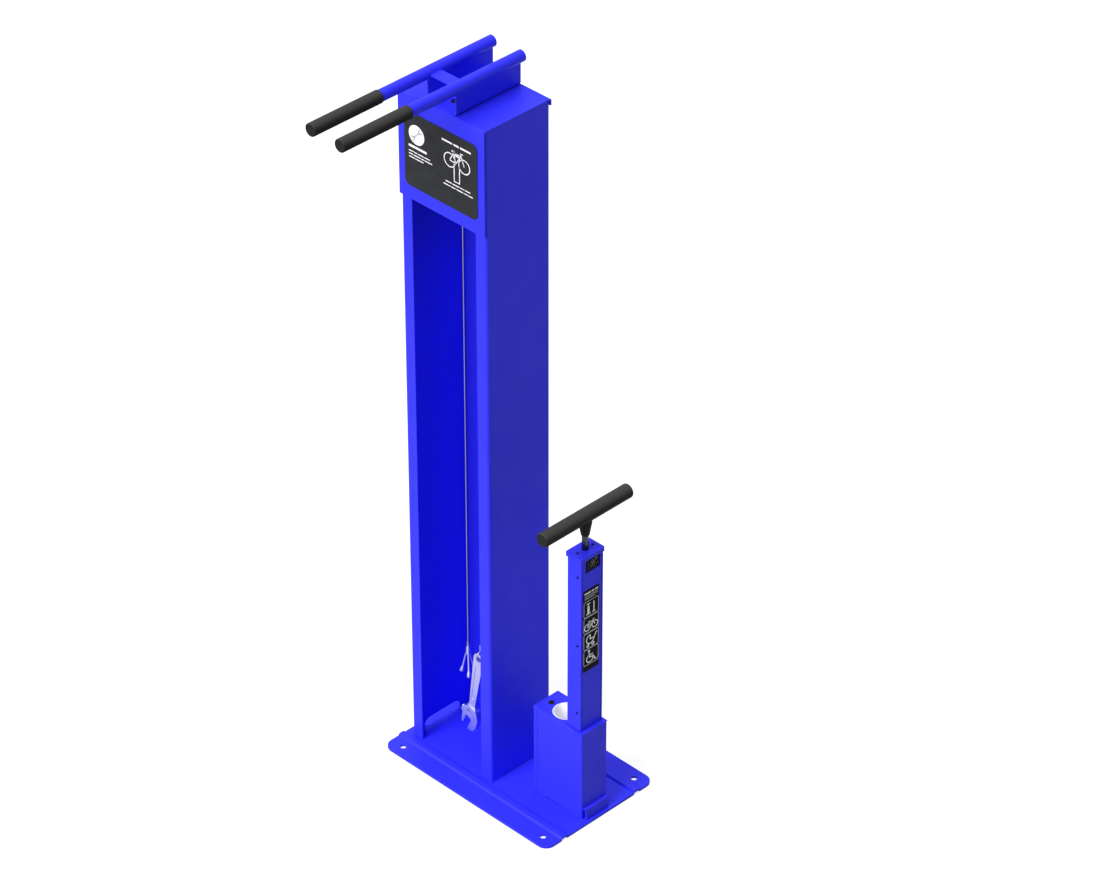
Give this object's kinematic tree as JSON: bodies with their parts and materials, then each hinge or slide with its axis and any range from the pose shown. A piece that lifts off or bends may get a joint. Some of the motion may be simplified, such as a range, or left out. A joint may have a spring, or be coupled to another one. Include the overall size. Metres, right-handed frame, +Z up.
{
  "type": "bicycle repair station",
  "caption": "Floor-standing bicycle repair station: folded steel post with two hanging arms, tethered tools inside and a hand pump beside it on one base plate.",
  "frame": {"origin": "centre of the base plate's anchor pattern, on its underside where it meets the ground", "axes": "+Z up, the station's height; +X to the right when facing the open front; +Y to the rear"},
  "size_m": [0.429, 0.4848, 1.4685],
  "materials": {
    "blue_coat": "saturated blue powder coat, satin, fine orange peel",
    "zinc_steel": "bright zinc-plated steel",
    "black_steel": "black oxide",
    "sign_coat": null,
    "info_coat": null,
    "rubber": "black rubber, matt",
    "black_plastic": "black plastic, fine grain",
    "wire_steel": "stranded wire rope and crimped steel",
    "tool_chrome": "satin chrome plated tool steel",
    "barrel_alloy": "drawn and turned aluminium",
    "brass": "turned brass",
    "seal_rubber": "greased rubber",
    "rod_steel": "dark polished steel",
    "dial_white": "black dial with white ticks, no text",
    "needle_red": "red pointer",
    "clear_glass": "clear gauge lens",
    "white_plastic": "white moulded plastic"
  },
  "bodies": {
    "station": {"base_plate": "blue_coat", "post": "blue_coat", "head_cover": "blue_coat", "cover_screws": "zinc_steel", "sign_panel": "sign_coat", "arm_bracket": "blue_coat", "bracket_screws": "black_steel", "mounting_plate": "zinc_steel", "arm_tube_left": "blue_coat", "arm_tube_right": "blue_coat", "arm_bridge": "blue_coat", "arm_grip_left": "rubber", "arm_grip_right": "rubber", "arm_end_plugs": "blue_coat", "hanger_bars": "zinc_steel", "pump_column": "blue_coat", "column_panel": "blue_coat", "column_screws": "black_steel", "column_cap": "blue_coat", "cap_screws": "black_steel", "column_top_plate": "zinc_steel", "rod_bush": "black_plastic", "pump_barrel": "barrel_alloy", "barrel_head": "black_plastic", "valve_block": "barrel_alloy", "check_valve": "brass", "gauge_bracket": "black_steel", "gauge_case": "black_plastic", "gauge_dial": "dial_white", "gauge_lens": "clear_glass", "gauge_pipe": "black_plastic", "instruction_panel": "info_coat", "box_side": "blue_coat", "box_cover": "blue_coat", "box_lid": "blue_coat", "box_rivets": "blue_coat", "foot_bracket": "blue_coat", "stow_cup": "white_plastic", "hose_grommet": "black_plastic"},
    "pump_seal": {"piston_seal": "seal_rubber"},
    "plunger": {"piston": "barrel_alloy", "pump_rod": "rod_steel", "handle_hub": "black_plastic", "handle_bar": "black_plastic"},
    "pointer": {"gauge_needle": "needle_red"},
    "tripod_line": {"tripod_eye": "wire_steel", "tripod_rope": "wire_steel", "tripod_swivel": "wire_steel"},
    "tripod_tool": {"tripod_wrench": "tool_chrome"},
    "wrench_line": {"wrench_eye": "wire_steel", "wrench_rope": "wire_steel", "wrench_loop": "wire_steel"},
    "wrench_tool": {"wrench_body": "tool_chrome", "wrench_worm_pin": "tool_chrome"},
    "jaw": {"wrench_jaw": "tool_chrome"},
    "worm": {"wrench_worm": "tool_chrome"}
  },
  "joints": [
    {"name": "pump_stroke", "type": "slide", "parent": "station", "child": "pump_seal", "axis": [0, 0, 1], "range_m": [0, 0.42]},
    {"name": "handle_swivel", "type": "hinge", "parent": "pump_seal", "child": "plunger", "pos_m": [0.173, -0.002, 0.6], "axis": [0, 0, 1], "continuous": true},
    {"name": "gauge_pointer", "type": "hinge", "parent": "station", "child": "pointer", "pos_m": [0.181, 0.0045, 0.56025], "axis": [1, 0, 0], "range_deg": [-240, 0], "stiffness_Nm_per_rad": 0.00002},
    {"name": "tripod_swing", "type": "hinge", "parent": "station", "child": "tripod_line", "pos_m": [-0.1275, -0.0025, 1.36], "axis": [1, 0, 0], "range_deg": [-20, 2]},
    {"name": "tripod_spin", "type": "hinge", "parent": "tripod_line", "child": "tripod_tool", "pos_m": [-0.1275, -0.0025, 0.205], "axis": [0, 0, 1], "continuous": true},
    {"name": "wrench_swing", "type": "hinge", "parent": "station", "child": "wrench_line", "pos_m": [-0.0646, -0.03, 1.36], "axis": [1, 0, 0], "range_deg": [-15.5, 4]},
    {"name": "wrench_tilt", "type": "hinge", "parent": "wrench_line", "child": "wrench_tool", "pos_m": [-0.0689, -0.03, 0.2245], "axis": [0, 1, 0], "range_deg": [-20, 12]},
    {"name": "jaw_travel", "type": "slide", "parent": "wrench_tool", "child": "jaw", "axis": [-0.9205, 0, 0.3907], "range_m": [-0.0143, 0.0025]},
    {"name": "worm_turn", "type": "hinge", "parent": "wrench_tool", "child": "worm", "pos_m": [-0.09107, -0.03, 0.09284], "axis": [-0.9205, 0, 0.3907], "range_deg": [-2090, 380]}
  ],
  "couplings": [
    {"joint": "worm_turn", "follows": "jaw_travel", "rad_per_m": 2513.3}
  ]
}
